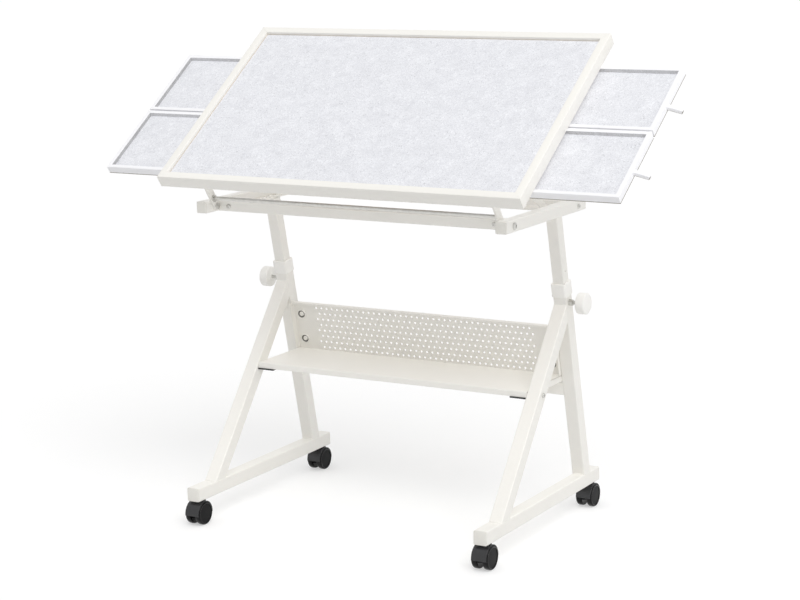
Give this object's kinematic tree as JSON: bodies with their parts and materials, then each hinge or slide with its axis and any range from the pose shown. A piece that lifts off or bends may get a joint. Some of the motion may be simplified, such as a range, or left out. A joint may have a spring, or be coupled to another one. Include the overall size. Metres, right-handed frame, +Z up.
{
  "type": "puzzle table",
  "caption": "Tilting, height-adjustable jigsaw puzzle table with a felt-covered top, slide-out sorting trays, a shelf and twin-wheel casters.",
  "frame": {"origin": "on the floor, midway between the two side frames and midway along their foot bars", "axes": "+X to the right as seen from the low front edge, +Y to the back, +Z up"},
  "size_m": [1.2577, 0.5518, 1.0459],
  "materials": {
    "powder_coat": "satin cream-white powder coat",
    "moulded_trim": "satin cream moulding",
    "zinc_steel": "zinc-plated, slightly worn",
    "black_moulding": "matte black",
    "wood_board": "plain fibreboard, hidden by the felt above",
    "felt": "light grey felt with scattered grey fibres",
    "tray_plastic": "cool white moulding"
  },
  "bodies": {
    "base": {"left_foot_bar": "powder_coat", "right_foot_bar": "powder_coat", "foot_bar_end_caps": "moulded_trim", "left_front_leg": "powder_coat", "right_front_leg": "powder_coat", "left_rear_leg": "powder_coat", "right_rear_leg": "powder_coat", "height_collars": "moulded_trim", "clamp_nuts": "zinc_steel", "lower_crossbar": "powder_coat", "shelf_back_panel": "powder_coat", "shelf_tray": "powder_coat", "shelf_brackets": "black_moulding", "shelf_bolts": "zinc_steel", "caster_sockets": "black_moulding"},
    "upper_frame": {"left_inner_tube": "powder_coat", "right_inner_tube": "powder_coat", "left_side_bar": "powder_coat", "right_side_bar": "powder_coat", "side_bar_end_caps": "moulded_trim", "front_crossbar": "powder_coat", "rear_crossbar": "powder_coat", "crossbar_bolts": "zinc_steel", "hinge_bolts": "zinc_steel", "tilt_racks": "powder_coat"},
    "tabletop": {"front_rail": "powder_coat", "back_rail": "powder_coat", "left_rail": "powder_coat", "right_rail": "powder_coat", "board_panel": "wood_board", "board_felt": "felt", "tray_runners": "tray_plastic", "carrier_bars": "powder_coat", "hinge_brackets": "powder_coat", "bracket_screws": "zinc_steel", "tie_rod": "zinc_steel"},
    "prop": {"prop_frame": "powder_coat"},
    "knob_left": {"left_clamp_knob": "moulded_trim", "left_clamp_stud": "zinc_steel"},
    "knob_right": {"right_clamp_knob": "moulded_trim", "right_clamp_stud": "zinc_steel"},
    "caster_front_left": {"front_left_caster_hood": "black_moulding"},
    "wheels_front_left": {"front_left_caster_wheels": "black_moulding"},
    "tray_front_left": {"front_left_tray": "tray_plastic", "front_left_tray_felt": "felt"},
    "caster_rear_left": {"rear_left_caster_hood": "black_moulding"},
    "wheels_rear_left": {"rear_left_caster_wheels": "black_moulding"},
    "tray_rear_left": {"rear_left_tray": "tray_plastic", "rear_left_tray_felt": "felt"},
    "caster_front_right": {"front_right_caster_hood": "black_moulding"},
    "wheels_front_right": {"front_right_caster_wheels": "black_moulding"},
    "tray_front_right": {"front_right_tray": "tray_plastic", "front_right_tray_felt": "felt", "front_right_tray_pull": "tray_plastic"},
    "caster_rear_right": {"rear_right_caster_hood": "black_moulding"},
    "wheels_rear_right": {"rear_right_caster_wheels": "black_moulding"},
    "tray_rear_right": {"rear_right_tray": "tray_plastic", "rear_right_tray_felt": "felt", "rear_right_tray_pull": "tray_plastic"}
  },
  "joints": [
    {"name": "height_slide", "type": "slide", "parent": "base", "child": "upper_frame", "axis": [0, -0.2215, 0.9751], "range_m": [-0.141, 0.1]},
    {"name": "top_tilt", "type": "hinge", "parent": "upper_frame", "child": "tabletop", "pos_m": [0, -0.15182, 0.68549], "axis": [1, 0, 0], "range_deg": [-34, 20]},
    {"name": "prop_swing", "type": "hinge", "parent": "tabletop", "child": "prop", "pos_m": [0, -0.03575, 0.76378], "axis": [1, 0, 0], "range_deg": [-40, 68]},
    {"name": "knob_turn_left", "type": "hinge", "parent": "base", "child": "knob_left", "pos_m": [-0.392, 0.11961, 0.48186], "axis": [-1, 0, 0], "range_deg": [0, 360]},
    {"name": "knob_turn_right", "type": "hinge", "parent": "base", "child": "knob_right", "pos_m": [0.392, 0.11961, 0.48186], "axis": [1, 0, 0], "range_deg": [0, 360]},
    {"name": "swivel_front_left", "type": "hinge", "parent": "base", "child": "caster_front_left", "pos_m": [-0.35, -0.24, 0.05], "axis": [0, 0, 1], "continuous": true},
    {"name": "roll_front_left", "type": "hinge", "parent": "caster_front_left", "child": "wheels_front_left", "pos_m": [-0.35, -0.252, 0.025], "axis": [1, 0, 0], "continuous": true},
    {"name": "tray_slide_front_left", "type": "slide", "parent": "tabletop", "child": "tray_front_left", "axis": [-1, 0, 0], "range_m": [-0.18, 0.12]},
    {"name": "swivel_rear_left", "type": "hinge", "parent": "base", "child": "caster_rear_left", "pos_m": [-0.35, 0.257, 0.05], "axis": [0, 0, 1], "continuous": true},
    {"name": "roll_rear_left", "type": "hinge", "parent": "caster_rear_left", "child": "wheels_rear_left", "pos_m": [-0.35, 0.245, 0.025], "axis": [1, 0, 0], "continuous": true},
    {"name": "tray_slide_rear_left", "type": "slide", "parent": "tabletop", "child": "tray_rear_left", "axis": [-1, 0, 0], "range_m": [-0.18, 0.12]},
    {"name": "swivel_front_right", "type": "hinge", "parent": "base", "child": "caster_front_right", "pos_m": [0.35, -0.24, 0.05], "axis": [0, 0, 1], "continuous": true},
    {"name": "roll_front_right", "type": "hinge", "parent": "caster_front_right", "child": "wheels_front_right", "pos_m": [0.35, -0.252, 0.025], "axis": [1, 0, 0], "continuous": true},
    {"name": "tray_slide_front_right", "type": "slide", "parent": "tabletop", "child": "tray_front_right", "axis": [1, 0, 0], "range_m": [-0.18, 0.12]},
    {"name": "swivel_rear_right", "type": "hinge", "parent": "base", "child": "caster_rear_right", "pos_m": [0.35, 0.257, 0.05], "axis": [0, 0, 1], "continuous": true},
    {"name": "roll_rear_right", "type": "hinge", "parent": "caster_rear_right", "child": "wheels_rear_right", "pos_m": [0.35, 0.245, 0.025], "axis": [1, 0, 0], "continuous": true},
    {"name": "tray_slide_rear_right", "type": "slide", "parent": "tabletop", "child": "tray_rear_right", "axis": [1, 0, 0], "range_m": [-0.18, 0.12]}
  ],
  "couplings": [
    {"joint": "prop_swing", "follows": "top_tilt", "ratio": -2}
  ]
}
